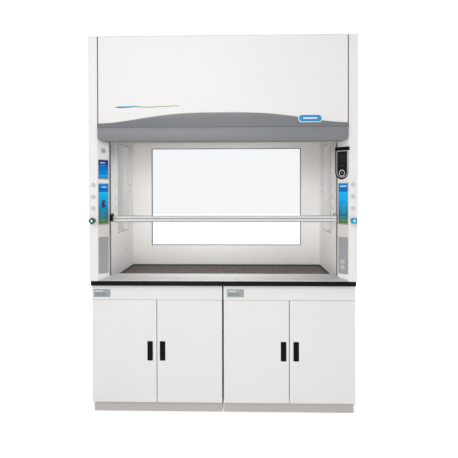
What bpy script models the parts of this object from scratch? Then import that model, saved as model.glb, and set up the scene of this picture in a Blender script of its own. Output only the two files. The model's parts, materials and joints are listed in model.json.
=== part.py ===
"""Six-foot filtered fume hood on two base cabinets, built as separate pieces.

Every length below is in millimetres. A point is written (x, depth, height): x runs to the right,
depth runs back from the hood's front plane, and height runs up from the floor. place() turns such a
point into world metres, with the origin on the floor under the centre of the whole object.
"""

from math import atan2, cos, hypot, pi, radians, sin, tan

import bmesh
import bpy
from mathutils import Matrix, Vector

# Driving dimensions
HALF_WIDTH = 914.5
HEIGHT = 2606
DEPTH = 805
KNOB_REACH = 58  # the valve knobs stand this far in front of the hood
SHEET = 2  # folded steel
LINER = 5  # chamber lining
GLASS = 6.2
GAP = 0.3  # between pieces that meet
MIDDLE = (DEPTH - KNOB_REACH) / 2

# Worktop and base cabinets
WORKTOP_TOP = 933
WORKTOP_THICK = 32
WORKTOP_HALF = 908
WORKTOP_BOTTOM = WORKTOP_TOP - WORKTOP_THICK
DISH_DEPTH = 6
CABINET_IN, CABINET_OUT = 5, 910  # a cabinet's two sides, from the centre line
CABINET_BACK = 790
CABINET_TOP = WORKTOP_BOTTOM - GAP
DOOR_FRONT = 40
DOOR_THICK = 20
DOOR_BOTTOM, DOOR_TOP = 85, 795.5
APRON_BOTTOM = 797.5
CARCASS_FRONT = DOOR_FRONT + DOOR_THICK + 2
TOE_FRONT, TOE_HEIGHT = 91, 84
DOOR_SPLIT = 457.5
HANDLE_HEIGHT = 442.5
HANDLE_SIZE = (36, 135)
SHELF_HEIGHT = 440

# Chamber
FOOT = WORKTOP_TOP + GAP
CHAMBER_HALF = 788
CHAMBER_TOP = 1975
BACK_WALL = 773
SIDE_OPENING = (287, 591, 1241, 1905)  # depth and height
REAR_OPENING = (-630, 630, 1093, 1911)  # x and height
WINDOW_LAP = 15
POST_TOP = HEIGHT - SHEET - GAP
POST_FACE_IN = 856  # the flat front of a post ends here and its slanted face begins
SLANT_END = (793, 62)
SLANT_TOP = 1990
HEADER_BOTTOM = 1887
HEADER_HALF = 848
HEADER_FOLD = 1982
HEADER_FRONT = -25

# Sash and its counterbalance
SASH_BOTTOM = 1337  # at rest
SASH_TOP = 2272
SASH_DEPTH = (78, 84)
SASH_HALF = 796
SASH_SLOT = (SASH_DEPTH[0] - GAP, SASH_DEPTH[1] + GAP)
CHAIN_X = (815, 823)
CHAIN_CENTRE = 110  # depth of the sprocket axes
CHAIN_RADIUS = 30
CHAIN_TOP, CHAIN_LOW = 2566, 1600
LINK = 6  # thickness of the chain in side view
SHAFT_RADIUS = 8

# Filters and fans
FILTER_CENTRES = (-520, 0, 520)
FILTER_HALF = 240
FILTER_DEPTH = (230, 730)
FILTER_TOP = 2285
CEILING_TOP = CHAMBER_TOP + GAP + 3
FAN_CENTRE = 480
SHROUD_RADIUS = 152

# Controls
VALVE = (880, 1348.5)
SWITCH_HEIGHT = 1828
MONITOR = (1630, 1844, 48, 20)  # lowest, highest, half width, thickness
MONITOR_BUTTON = 1669
PLATE_HEIGHTS = (982, 1108.5, 1233)  # foot, seam and head

SIDES = {"left": -1, "right": 1}
ROUND = 24

for old in list(bpy.data.objects):
    bpy.data.objects.remove(old, do_unlink=True)


def place(point):
    """World metres of a point given as (x, depth, height) in millimetres."""
    return Vector((point[0], point[1] - MIDDLE, point[2])) / 1000


def material(name, colour, roughness, metallic=0.0, alpha=1.0):
    made = bpy.data.materials.new(name)
    made.use_nodes = True
    shader = made.node_tree.nodes["Principled BSDF"]
    shader.inputs["Base Color"].default_value = (*colour, 1)
    shader.inputs["Roughness"].default_value = roughness
    shader.inputs["Metallic"].default_value = metallic
    shader.inputs["Alpha"].default_value = alpha
    return made


WHITE = material("white_powder_coat", (0.86, 0.85, 0.83), 0.45)
LINING = material("chamber_lining", (0.82, 0.81, 0.79), 0.5)
GREY = material("moulded_grey", (0.30, 0.32, 0.34), 0.4)
RESIN = material("black_resin", (0.03, 0.028, 0.028), 0.35)
PANE = material("clear_glass", (0.9, 0.95, 0.95), 0.05, alpha=0.3)
ALUMINIUM = material("aluminium", (0.75, 0.76, 0.78), 0.3, 1.0)
STEEL = material("bright_steel", (0.6, 0.6, 0.62), 0.35, 1.0)
IRON = material("cast_weight", (0.12, 0.12, 0.13), 0.6, 0.5)
BLACK = material("black_plastic", (0.02, 0.02, 0.022), 0.4)
PLATE = material("outlet_plate_grey", (0.42, 0.43, 0.47), 0.5)
MEDIA = material("filter_media", (0.7, 0.7, 0.66), 0.8)
DIFFUSER = material("lamp_diffuser", (0.95, 0.95, 0.95), 0.4)
GREEN = material("green_knob", (0.01, 0.16, 0.07), 0.35)
BLUE = material("blue_knob", (0.01, 0.28, 0.6), 0.35)


# Shapes: each is a list of points and a list of faces


def prism(outline, axis, low, high):
    """An outline carried along one axis: its points are the other two coordinates, in x, d, z order."""
    spread = {"x": lambda a, b, c: (c, a, b), "d": lambda a, b, c: (a, c, b), "z": lambda a, b, c: (a, b, c)}[axis]
    points = [spread(a, b, c) for c in (low, high) for a, b in outline]
    n = len(outline)
    faces = [tuple(range(n)), tuple(range(n, 2 * n))]
    faces += [(i, (i + 1) % n, n + (i + 1) % n, n + i) for i in range(n)]
    return points, faces


def box(x, depth, height):
    """A block between two x, two depths and two heights."""
    return prism([(x[0], depth[0]), (x[1], depth[0]), (x[1], depth[1]), (x[0], depth[1])], "z", *height)


def arc(centre, radius, start, end, steps):
    """Points from one angle to another, in degrees."""
    turns = [radians(start + (end - start) * i / steps) for i in range(steps + 1)]
    return [(centre[0] + radius * cos(t), centre[1] + radius * sin(t)) for t in turns]


def circle(centre, radius, sides=ROUND):
    return arc(centre, radius, 0, 360, sides)[:-1]


def rod(centre, radius, axis, low, high, sides=ROUND):
    return prism(circle(centre, radius, sides), axis, low, high)


def rounded(a, b, radius, steps=4):
    """A rectangle with round corners, between two values each way."""
    corners = ((1, 1, 0), (0, 1, 90), (0, 0, 180), (1, 0, 270))
    points = []
    for i, j, start in corners:
        centre = (a[i] + (radius if i == 0 else -radius), b[j] + (radius if j == 0 else -radius))
        points += arc(centre, radius, start, start + 90, steps)
    return points


def stadium(centre, low, high, radius, steps=12):
    """An upright track shape: two half circles joined by straight runs."""
    return arc((centre, high), radius, 0, 180, steps) + arc((centre, low), radius, 180, 360, steps)


def folded(path, thickness, bend=4, steps=3):
    """The outline of a sheet bent along a path, its thickness laid to the left of the path."""
    outer, normals = [], []

    def unit(a, b):
        length = hypot(b[0] - a[0], b[1] - a[1])
        return (b[0] - a[0]) / length, (b[1] - a[1]) / length

    for i, point in enumerate(path):
        into = unit(path[i - 1], point) if i else None
        out = unit(point, path[i + 1]) if i + 1 < len(path) else None
        if not (into and out):
            ahead = into or out
            outer.append(point)
            normals.append((-ahead[1], ahead[0]))
            continue
        turn = atan2(into[0] * out[1] - into[1] * out[0], into[0] * out[0] + into[1] * out[1])
        reach = bend * tan(abs(turn) / 2)
        begin = (point[0] - into[0] * reach, point[1] - into[1] * reach)
        side = 1 if turn > 0 else -1
        centre = (begin[0] - side * into[1] * bend, begin[1] + side * into[0] * bend)
        for k in range(steps + 1):
            angle = turn * k / steps
            nx = -into[1] * cos(angle) - into[0] * sin(angle)
            ny = into[0] * cos(angle) - into[1] * sin(angle)
            outer.append((centre[0] - side * bend * nx, centre[1] - side * bend * ny))
            normals.append((nx, ny))
    inner = [(p[0] + thickness * n[0], p[1] + thickness * n[1]) for p, n in zip(outer, normals)]
    return outer + inner[::-1]


def mirrored(shape, side):
    """The same shape on the left (side -1) or the right (side 1)."""
    points, faces = shape
    return [(side * x, d, z) for x, d, z in points], faces


def turned(shape, matrix):
    points, faces = shape
    return [tuple(matrix @ Vector(p)) for p in points], faces


def mesh_of(name, shape, origin):
    points, faces = shape
    start = place(origin)
    mesh = bpy.data.meshes.new(name)
    mesh.from_pydata([place(p) - start for p in points], [], faces)
    work = bmesh.new()
    work.from_mesh(mesh)
    bmesh.ops.recalc_face_normals(work, faces=work.faces)
    work.to_mesh(mesh)
    work.free()
    return mesh


def solid(name, look, base, *steps, origin=(0, 0, 0), bevel=0, smooth=False):
    """One named piece: a base shape, then shapes joined to it ("+") or cut from it ("-") in order."""
    piece = bpy.data.objects.new(name, mesh_of(name, base, origin))
    piece.location = place(origin)
    piece.data.materials.append(look)
    bpy.context.scene.collection.objects.link(piece)
    if smooth:
        piece.data.shade_smooth()
        piece.data.set_sharp_from_angle(angle=radians(35))
    if bevel:
        edge = piece.modifiers.new("edges", "BEVEL")
        edge.width = bevel / 1000
        edge.segments = 2
        edge.limit_method = "ANGLE"
    for i, (sign, shape) in enumerate(steps):
        tool = bpy.data.objects.new(f"{name}_tool_{i}", mesh_of(f"{name}_tool_{i}", shape, origin))
        tool.parent = piece
        tool.hide_render = True
        tool.display_type = "WIRE"
        bpy.context.scene.collection.objects.link(tool)
        step = piece.modifiers.new(f"step_{i}", "BOOLEAN")
        step.operation = {"+": "UNION", "-": "DIFFERENCE"}[sign]
        step.solver = "EXACT"
        step.object = tool
    return piece


# Base cabinets


def base_cabinet(name, side):
    """A folded steel carcass, open at the front, with an apron above the doors and a toe recess."""
    front, inner = DOOR_FRONT, (CABINET_IN + SHEET, CABINET_OUT - SHEET)
    profile = [
        (front, CABINET_TOP),
        (front, APRON_BOTTOM),
        (CARCASS_FRONT, APRON_BOTTOM),
        (CARCASS_FRONT, TOE_HEIGHT),
        (TOE_FRONT, TOE_HEIGHT),
        (TOE_FRONT, 0),
        (CABINET_BACK, 0),
        (CABINET_BACK, CABINET_TOP),
    ]
    rail = CARCASS_FRONT + 22
    back = CABINET_BACK - SHEET
    floor = TOE_HEIGHT + SHEET
    rim = 25
    flange = 40
    hollows = [
        box(inner, (rail, back), (floor, CABINET_TOP - SHEET)),
        box(inner, (front + SHEET, rail + 1), (APRON_BOTTOM + SHEET, CABINET_TOP - SHEET)),
        box(inner, (CARCASS_FRONT + SHEET, rail + 1), (floor, APRON_BOTTOM - SHEET)),
        box(
            (CABINET_IN + rim, CABINET_OUT - rim),
            (CARCASS_FRONT - 5, CARCASS_FRONT + 5),
            (TOE_HEIGHT + rim, APRON_BOTTOM - rim / 2),
        ),
        box(inner, (TOE_FRONT + SHEET, back), (SHEET, TOE_HEIGHT - 1)),
        box(
            (inner[0] + flange, inner[1] - flange),
            (TOE_FRONT + flange, back - flange),
            (-5, 5),
        ),
    ]
    base = prism(profile, "x", CABINET_IN, CABINET_OUT)
    return solid(name, WHITE, mirrored(base, side), *[("-", mirrored(h, side)) for h in hollows])


def cabinet_shelf(name, side):
    """A shelf tray with its front and back edges turned down."""
    path = [(120, SHELF_HEIGHT - 22), (120, SHELF_HEIGHT), (770, SHELF_HEIGHT), (770, SHELF_HEIGHT - 22)]
    edge = SHEET + GAP
    shape = prism(folded(path[::-1], SHEET), "x", CABINET_IN + edge, CABINET_OUT - edge)
    return solid(name, WHITE, mirrored(shape, side))


def door_and_handle(outer, side, word):
    """A double-skinned door hinged on its front corner, and the black cup handle let into it."""
    clear, meeting = 1.5, 2.2
    x = (DOOR_SPLIT + meeting, CABINET_OUT - clear) if outer else (CABINET_IN + clear, DOOR_SPLIT - meeting)
    hinge = x[1] if outer else x[0]
    grip = 504.5 if outer else 418
    place_word = "outer" if outer else "inner"
    depth = (DOOR_FRONT, DOOR_FRONT + DOOR_THICK)
    height = (DOOR_BOTTOM, DOOR_TOP)
    skin = [(v[0] + SHEET, v[1] - SHEET) for v in (x, depth, height)]
    half_x, half_z = HANDLE_SIZE[0] / 2, HANDLE_SIZE[1] / 2
    bezel = 2

    def cup(inset, low, high):
        across = (grip - half_x + inset, grip + half_x - inset)
        up = (HANDLE_HEIGHT - half_z + inset, HANDLE_HEIGHT + half_z - inset)
        return mirrored(prism(rounded(across, up, 5), "d", low, high), side)

    origin = (side * hinge, DOOR_FRONT, 0)
    solid(
        f"{place_word}_door_{word}",
        WHITE,
        mirrored(box(x, depth, height), side),
        ("-", mirrored(box(*skin), side)),
        ("-", cup(bezel, DOOR_FRONT - 5, DOOR_FRONT + 5)),
        origin=origin,
        bevel=1.5,
    )
    front = DOOR_FRONT - 2.5
    floor = DOOR_FRONT + 15
    solid(
        f"{place_word}_door_handle_{word}",
        BLACK,
        cup(0, front, DOOR_FRONT - GAP),
        ("+", cup(bezel + GAP, front + 1, floor)),
        ("-", cup(bezel + 3, front - 5, floor - 2)),
        origin=origin,
    )


def cabinets():
    for word, side in SIDES.items():
        base_cabinet(f"base_cabinet_{word}", side)
        cabinet_shelf(f"cabinet_shelf_{word}", side)
        for outer in (True, False):
            door_and_handle(outer, side, word)


# Worktop and sill


def worktop():
    """A resin slab with a shallow dish, which holds spills inside the chamber."""
    slab = prism(rounded((-WORKTOP_HALF, WORKTOP_HALF), (2, 803), 10), "z", WORKTOP_BOTTOM, WORKTOP_TOP)
    dish = prism(rounded((-765, 765), (118, 748), 20), "z", WORKTOP_TOP - DISH_DEPTH, WORKTOP_TOP + 10)
    solid("worktop", RESIN, slab, ("-", dish), bevel=2)


def airfoil_sill():
    """The curved sheet that leads air in under the sash, mitred to the slanted faces of the posts."""
    path = [(-2, FOOT + 1), (-2, 944), (30, 958), (70, 967.5), (96, 970), (101, 958)]
    sheet = prism(folded(path[::-1], 2.5, bend=5), "x", -870, 870)
    mitre = [(857, -30), (857, -2), (SLANT_END[0] - 1, SLANT_END[1]), (787.4, 64), (787.4, 130), (1000, 130), (1000, -30)]
    steps = [("+", box((x - 15, x + 15), (34, 60), (FOOT, 957.5))) for x in (-600, 0, 600)]
    steps += [("-", mirrored(prism(mitre, "z", 900, 1000), side)) for side in SIDES.values()]
    solid("airfoil_sill", WHITE, sheet, *steps)


# Casing


def corner_post(name, side):
    """A full-height front post whose slanted face looks into the sash opening."""
    corner = HALF_WIDTH
    upright = [(POST_FACE_IN, 28), (POST_FACE_IN, 0), (corner, 0), (corner, 40)]
    slant = [(SLANT_END[0], 69.7), SLANT_END, (POST_FACE_IN, 0), (POST_FACE_IN + 20, 0)]
    steps = [("+", prism(folded(slant, SHEET, 3), "z", FOOT, SLANT_TOP))]
    steps.append(("-", rod(VALVE, 8.6, "d", -10, 10)))
    if side < 0:
        steps.append(("-", on_slant(circle((0, SWITCH_HEIGHT), 8.6), -10, 10)))
    base = prism(folded(upright, SHEET, 3), "z", FOOT, POST_TOP)
    solid(name, WHITE, mirrored(base, side), *[(sign, mirrored(s, side)) for sign, s in steps])


def on_slant(outline, low, high):
    """An outline of (along, height) points on the right post's slanted face, between two heights off it."""
    dx, dd = SLANT_END[0] - POST_FACE_IN, SLANT_END[1]
    length = hypot(dx, dd)
    along, off = Vector((dx, dd)) / length, Vector((-dd, dx)) / length
    middle = Vector(((POST_FACE_IN + SLANT_END[0]) / 2, dd / 2))

    def at(u, n):
        return middle + along * u + off * n

    points, faces = prism(outline, "d", low, high)
    return [(*at(u, n), z) for u, n, z in points], faces


def side_panel(name, side):
    """The outer side skin, with its window."""
    path = [(890, 40 + GAP), (HALF_WIDTH, 40 + GAP), (HALF_WIDTH, DEPTH), (874.5, DEPTH)]
    skin = prism(folded(path, SHEET, 3), "z", FOOT, POST_TOP)
    low, high, bottom, top = SIDE_OPENING
    hole = box((900, 930), (low, high), (bottom, top))
    solid(name, WHITE, mirrored(skin, side), ("-", mirrored(hole, side)))


def sash_bearings(name, side):
    """A rail inside the side skin with two arms that carry the sash axles."""
    inner = HALF_WIDTH - SHEET - GAP
    rail = box((inner - 4, inner), (CHAIN_CENTRE - 22, CHAIN_CENTRE + 22), (CHAIN_LOW - 34, CHAIN_TOP + 30))
    steps = []
    for height in (CHAIN_TOP, CHAIN_LOW):
        arm = box((834, inner - 2), (CHAIN_CENTRE - 14, CHAIN_CENTRE + 14), (height - 16, height + 16))
        hole = rod((CHAIN_CENTRE, height), SHAFT_RADIUS + GAP, "x", 825, 850)
        steps += [("+", arm), ("-", hole)]
    solid(name, STEEL, mirrored(rail, side), *[(sign, mirrored(s, side)) for sign, s in steps])


def rear_panel():
    left, right, bottom, top = REAR_OPENING
    half = HALF_WIDTH - SHEET - 2  # clear of the side panels' bends
    depth = (DEPTH - SHEET - GAP - 2, DEPTH - SHEET - GAP)
    hole = box((left, right), (790, 820), (bottom, top))
    solid("rear_panel", WHITE, box((-half, half), depth, (FOOT, POST_TOP)), ("-", hole))


def front_panel():
    """The flat tray above the header."""
    half = 849.7
    path = [(-half, 28), (-half, 3), (half, 3), (half, 28)]
    solid("front_panel", WHITE, prism(folded(path, SHEET, 3), "z", 2010, POST_TOP))


def top_cover():
    """The lid, with a group of outlet slots over each fan."""
    slots = []
    for centre in FILTER_CENTRES:
        for i in range(8):
            depth = FAN_CENTRE - 130 + 36 * i
            slots.append(("-", box((centre - 150, centre + 150), (depth, depth + 12), (HEIGHT - 10, HEIGHT + 10))))
    lid = box((-HALF_WIDTH, HALF_WIDTH), (0, DEPTH), (HEIGHT - SHEET, HEIGHT))
    solid("top_cover", WHITE, lid, *slots)


def header_top(x):
    """Height of the header's arched upper edge."""
    low, rise = 2013, 71
    return low + rise * (1 + cos(pi * min(1, abs(x) / 846) ** 1.5)) / 2


def header_low(x, half):
    """Height of the header's lower edge, whose ends are round."""
    run, rise = 40, 25
    past = max(0, abs(x) - (half - run)) / run
    return HEADER_BOTTOM + rise * (1 - (1 - min(1, past) ** 2) ** 0.5)


def header_fascia():
    """A moulded brow: an upright lower band, and a sloping band up to the arched edge."""
    wall = 3
    straight = [-808 + 1616 * i / 20 for i in range(21)]
    ends = [HEADER_HALF - 40 + 40 * sin(radians(90 * i / 6)) for i in range(1, 7)]
    stations = [-x for x in ends[::-1]] + straight + ends
    points, loops = [], []
    for inset in (0, wall):
        half = HEADER_HALF - inset
        loop = []
        for x in stations:
            here = x * half / HEADER_HALF
            low, top = header_low(x, HEADER_HALF) + inset, header_top(x) - 1.3 * inset
            slant = (POST_FACE_IN - abs(here)) * SLANT_END[1] / (POST_FACE_IN - SLANT_END[0])
            back = min(55, slant - 0.8)
            row = [(back, low), (HEADER_FRONT + inset, low), (HEADER_FRONT + inset, HEADER_FOLD), (2.4, top)]
            loop.append([len(points) + i for i in range(4)])
            points += [(here, d, z) for d, z in row]
        loops.append(loop)
    outer, inner = loops
    faces = []
    for loop in loops:
        for a, b in zip(loop, loop[1:]):
            faces += [(a[i], a[i + 1], b[i + 1], b[i]) for i in range(3)]
        faces += [tuple(loop[0]), tuple(loop[-1])]
    for i in range(len(stations) - 1):
        for k in (0, 3):
            faces.append((outer[i][k], outer[i + 1][k], inner[i + 1][k], inner[i][k]))
    for end in (0, -1):
        faces.append((outer[end][0], outer[end][3], inner[end][3], inner[end][0]))
    solid("header_fascia", GREY, (points, faces), smooth=True)


# Chamber


def side_liner(name, side):
    """A chamber wall with the deep frame of its window."""
    low, high, bottom, top = SIDE_OPENING
    wall = box((CHAMBER_HALF, CHAMBER_HALF + LINER), (92 + GAP, BACK_WALL + LINER), (FOOT, CHAMBER_TOP))
    frame = box((CHAMBER_HALF + 2, 905.7), (low - 3, high + 3), (bottom - 3, top + 3))
    hole = box((CHAMBER_HALF - 10, 915), (low, high), (bottom, top))
    solid(name, LINING, mirrored(wall, side), ("+", mirrored(frame, side)), ("-", mirrored(hole, side)))


def rear_liner():
    left, right, bottom, top = REAR_OPENING
    half = CHAMBER_HALF - GAP
    wall = box((-half, half), (BACK_WALL, BACK_WALL + LINER), (FOOT, CHAMBER_TOP))
    frame = box((left - 3, right + 3), (BACK_WALL + 2, 793), (bottom - 3, top + 3))
    hole = box((left, right), (BACK_WALL - 10, 800), (bottom, top))
    solid("rear_liner", LINING, wall, ("+", frame), ("-", hole))


def windows():
    low, high, bottom, top = SIDE_OPENING
    lap = WINDOW_LAP
    pane = box((906, 906 + GLASS), (low - lap, high + lap), (bottom - lap, top + lap))
    for word, side in SIDES.items():
        solid(f"side_window_{word}", PANE, mirrored(pane, side))
    left, right, bottom, top = REAR_OPENING
    pane = box((left - lap, right + lap), (793 + GAP, 793 + GAP + GLASS), (bottom - lap, top + lap))
    solid("rear_window", PANE, pane)


def ceiling_panel():
    """The chamber ceiling, with an opening under each filter and an edge turned down at the front."""
    plate = box((-793, 793), (97, 798), (CHAMBER_TOP + GAP, CEILING_TOP))
    lip = box((-787, 787), (97, 100), (1884, CEILING_TOP - 1))
    openings = [box((x - 220, x + 220), (250, 710), (CHAMBER_TOP - 10, CEILING_TOP + 10)) for x in FILTER_CENTRES]
    solid("ceiling_panel", LINING, plate, ("+", lip), *[("-", o) for o in openings])


def ceiling_light():
    outline = [(118, CHAMBER_TOP), (208, CHAMBER_TOP), (202, 1948), (190, 1937), (136, 1937), (124, 1948)]
    solid("ceiling_light", DIFFUSER, prism(outline, "x", -600, 600))


# Filters and fans


def filter_cassettes():
    """Three filter boxes standing on the ceiling, their media set back from both faces."""
    for word, x in zip(("left", "middle", "right"), FILTER_CENTRES):
        bottom = CEILING_TOP + GAP
        case = box((x - FILTER_HALF, x + FILTER_HALF), FILTER_DEPTH, (bottom, FILTER_TOP))
        inner = ((x - 215, x + 215), (FILTER_DEPTH[0] + 25, FILTER_DEPTH[1] - 25))
        recesses = [box(*inner, (bottom - 5, bottom + 20)), box(*inner, (FILTER_TOP - 20, FILTER_TOP + 5))]
        solid(f"filter_cassette_{word}", MEDIA, case, *[("-", r) for r in recesses])


def fan_deck():
    """The plate on the filters, with a shroud, three bars and a motor over each opening."""
    base = FILTER_TOP + GAP
    top = base + 100
    steps = []
    for x in FILTER_CENTRES:
        centre = (x, FAN_CENTRE)
        steps.append(("+", rod(centre, SHROUD_RADIUS, "z", base + 1, top, 32)))
        steps.append(("-", rod(centre, SHROUD_RADIUS - 4, "z", base - 10, top + 10, 32)))
    for x in FILTER_CENTRES:
        for i in range(3):
            bar = box((40, SHROUD_RADIUS - 2), (-8, 8), (top - 6, top - 1))
            turn = Matrix.Translation((x, FAN_CENTRE, 0)) @ Matrix.Rotation(radians(90 + 120 * i), 4, "Z")
            steps.append(("+", turned(bar, turn)))
        steps.append(("+", rod((x, FAN_CENTRE), 50, "z", top - 14, top + 55)))
    solid("fan_deck", STEEL, box((-800, 800), (120, 797), (base, base + 3)), *steps)


def fan_impellers():
    low = FILTER_TOP + 17
    for word, x in zip(("left", "middle", "right"), FILTER_CENTRES):
        centre = (x, FAN_CENTRE)
        steps = [("+", rod(centre, 6, "z", low + 40, FILTER_TOP + 85.5, 12))]
        for i in range(5):
            turn = Matrix.Translation((*centre, low + 26)) @ Matrix.Rotation(radians(72 * i), 4, "Z")
            pitch = Matrix.Rotation(radians(30), 4, "X")
            steps.append(("+", turned(box((34, 138), (-34, 34), (-2, 2)), turn @ pitch)))
        solid(f"fan_impeller_{word}", BLACK, rod(centre, 40, "z", low, low + 52), *steps, origin=(*centre, low))


# Sash and counterbalance


def sash_track(name, side):
    outline = [
        (788, 70),
        (806, 70),
        (806, 92),
        (788, 92),
        (788, 89.5),
        (803.5, 89.5),
        (803.5, 72.5),
        (788, 72.5),
    ]
    solid(name, BLACK, mirrored(prism(outline, "z", FOOT, 1875), side))


def sash():
    """The sliding window: its pane, its handle, the top rail hung from the chains and two end blocks."""
    glass_low, glass_high = SASH_BOTTOM + 23, SASH_TOP - 10
    solid("sash_glass", PANE, box((-SASH_HALF, SASH_HALF), SASH_DEPTH, (glass_low, glass_high)), origin=(0, 81, 1357))
    slot = [
        (SASH_SLOT[0], SASH_BOTTOM + 40),
        (SASH_SLOT[0], glass_low - GAP),
        (SASH_SLOT[1], glass_low - GAP),
        (SASH_SLOT[1], SASH_BOTTOM + 40),
    ]
    bands = []
    for low in (SASH_BOTTOM, SASH_BOTTOM + 20.5):
        bands += [(69.5, low + 0.5), (67, low + 3), (66, low + 9.75), (67, low + 16.5), (69.5, low + 19)]
    outline = [(88, SASH_BOTTOM)] + bands + slot + [(88, SASH_BOTTOM + 40)]
    solid("sash_handle", ALUMINIUM, prism(outline, "x", -765.7, 765.7), origin=(0, 81, 1357))

    rail = box((-SASH_HALF - 4, SASH_HALF + 4), (74, 88), (SASH_TOP - 28, SASH_TOP))
    steps = [("-", box((-SASH_HALF - GAP, SASH_HALF + GAP), SASH_SLOT, (SASH_TOP - 40, glass_high + GAP)))]
    arm = box((SASH_HALF, CHAIN_X[1]), (70, CHAIN_CENTRE - CHAIN_RADIUS - LINK / 2 - GAP), (SASH_TOP - 25, SASH_TOP - 10))
    steps += [("+", mirrored(arm, side)) for side in SIDES.values()]
    solid("sash_top_rail", ALUMINIUM, rail, *steps, origin=(0, 81, 1357))

    for word, side in SIDES.items():
        block = box((766, 787), (66, 90), (1336, 1394))
        tongue = box((780, 799), (74, 87), (1341, 1389))
        groove = box((760, SASH_HALF + GAP), SASH_SLOT, (glass_low - GAP, 1400))
        shapes = [("+", tongue), ("-", groove)]
        shapes = [(sign, mirrored(s, side)) for sign, s in shapes]
        solid(f"sash_end_block_{word}", BLACK, mirrored(block, side), *shapes, origin=(0, 81, 1357), bevel=2)


def counterbalance():
    """Chains over a common shaft at the top and idlers below, with a weight behind each post."""
    wheel_radius = CHAIN_RADIUS - LINK / 2 - GAP
    wheel = (CHAIN_X[0] - 1, CHAIN_X[1] + 1)
    outer = stadium(CHAIN_CENTRE, CHAIN_LOW, CHAIN_TOP, CHAIN_RADIUS + LINK / 2)
    inner = stadium(CHAIN_CENTRE, CHAIN_LOW, CHAIN_TOP, CHAIN_RADIUS - LINK / 2)
    axis = (CHAIN_CENTRE, CHAIN_TOP)
    wheels = [("+", mirrored(rod(axis, wheel_radius, "x", *wheel), side)) for side in SIDES.values()]
    shaft = rod(axis, SHAFT_RADIUS, "x", -845, 845, 16)
    solid("sash_shaft", STEEL, shaft, *wheels, origin=(0, *axis))
    for word, side in SIDES.items():
        ring = mirrored(prism(outer, "x", *CHAIN_X), side)
        hole = mirrored(prism(inner, "x", CHAIN_X[0] - 5, CHAIN_X[1] + 5), side)
        solid(f"chain_loop_{word}", STEEL, ring, ("-", hole))

        axis = (CHAIN_CENTRE, CHAIN_LOW)
        pin = mirrored(rod(axis, SHAFT_RADIUS, "x", wheel[0] - 2, 845, 16), side)
        disc = mirrored(rod(axis, wheel_radius, "x", *wheel), side)
        solid(f"idler_{word}", STEEL, disc, ("+", pin), origin=(side * 819, *axis))

        block = mirrored(box((838, 905), (125, 175), (1725, 2225)), side)
        clamp = mirrored(box((CHAIN_X[1] + GAP, 842), (134, 146), (1968, 1988)), side)
        solid(f"counterweight_{word}", IRON, block, ("+", clamp), origin=(side * 870, 150, 1975))


# Controls


def outlet_plates():
    """A cover plate low on each post, in two fields with a groove between them."""
    low, seam, high = PLATE_HEIGHTS
    for word, side in SIDES.items():
        plate = on_slant(rounded((-38, 38), (low, high), 4), GAP, 3.3)
        groove = on_slant([(-45, seam - 0.6), (45, seam - 0.6), (45, seam + 0.6), (-45, seam + 0.6)], 1.8, 8)
        solid(f"outlet_plate_{word}", PLATE, mirrored(plate, side), ("-", mirrored(groove, side)))


def airflow_monitor():
    """The monitor on the right post: a slim case with a round lower end, and its push button."""
    low, high, half, thick = MONITOR
    outline = arc((0, low + half), half, 180, 360, 16)
    outline += arc((half - 16, high - 16), 16, 0, 90, 4) + arc((16 - half, high - 16), 16, 90, 180, 4)
    recess = on_slant(circle((0, MONITOR_BUTTON), 14.6), 11.5, thick + 5)
    solid("monitor_housing", BLACK, on_slant(outline, GAP, thick), ("-", recess), bevel=2)
    button = on_slant(circle((0, MONITOR_BUTTON), 14), 14, thick + 2)
    solid("monitor_button", BLACK, button, origin=face_point(MONITOR_BUTTON, thick), bevel=1)


def face_point(height, off):
    """The point at the middle of the right post's slanted face, at a height and a distance off it."""
    return on_slant([(0, height)], off, off)[0][0]


def light_switch():
    cap = on_slant(circle((0, SWITCH_HEIGHT), 14.5), 2.5, 8)
    stem = on_slant(circle((0, SWITCH_HEIGHT), 8, 16), -15, 4)
    x, depth, height = face_point(SWITCH_HEIGHT, 5)
    solid("light_switch_button", BLACK, mirrored(cap, -1), ("+", mirrored(stem, -1)), origin=(-x, depth, height))


def valve_knobs():
    """Four-lobed remote knobs on the front of the posts."""
    for word, side in SIDES.items():
        look, start = (GREEN, pi / 4) if side < 0 else (BLUE, 0)
        x, z = side * VALVE[0], VALVE[1]
        lobes = []
        for i in range(32):
            turn = 2 * pi * i / 32
            radius = 17.5 + 3.5 * cos(4 * (turn - start))
            lobes.append((x + radius * cos(turn), z + radius * sin(turn)))
        stem = rod((x, z), 8, "d", -30, 20, 16)
        knob = prism(lobes, "d", -KNOB_REACH, -KNOB_REACH + 28)
        solid(f"valve_knob_{word}", look, knob, ("+", stem), origin=(x, 0, z), bevel=1.5)


cabinets()
worktop()
airfoil_sill()
for side_name, side_sign in SIDES.items():
    corner_post(f"corner_post_{side_name}", side_sign)
    side_panel(f"side_panel_{side_name}", side_sign)
    sash_bearings(f"sash_bearings_{side_name}", side_sign)
    side_liner(f"side_liner_{side_name}", side_sign)
    sash_track(f"sash_track_{side_name}", side_sign)
rear_panel()
front_panel()
top_cover()
header_fascia()
rear_liner()
windows()
ceiling_panel()
ceiling_light()
filter_cassettes()
fan_deck()
fan_impellers()
sash()
counterbalance()
outlet_plates()
airflow_monitor()
light_switch()
valve_knobs()
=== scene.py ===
"""The looks of the fume hood: materials for its CAD pieces, and the fine pieces that ride on them.

Lengths are in millimetres in the hood's own terms: x to the right, depth back from the hood's front
plane, height up from the floor. P() turns such a point into the row frame's metres.
"""

import json
from math import cos, pi, radians, sin

import bmesh
import bpy
import numpy as np
from mathutils import Euler, Matrix, Vector


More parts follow.
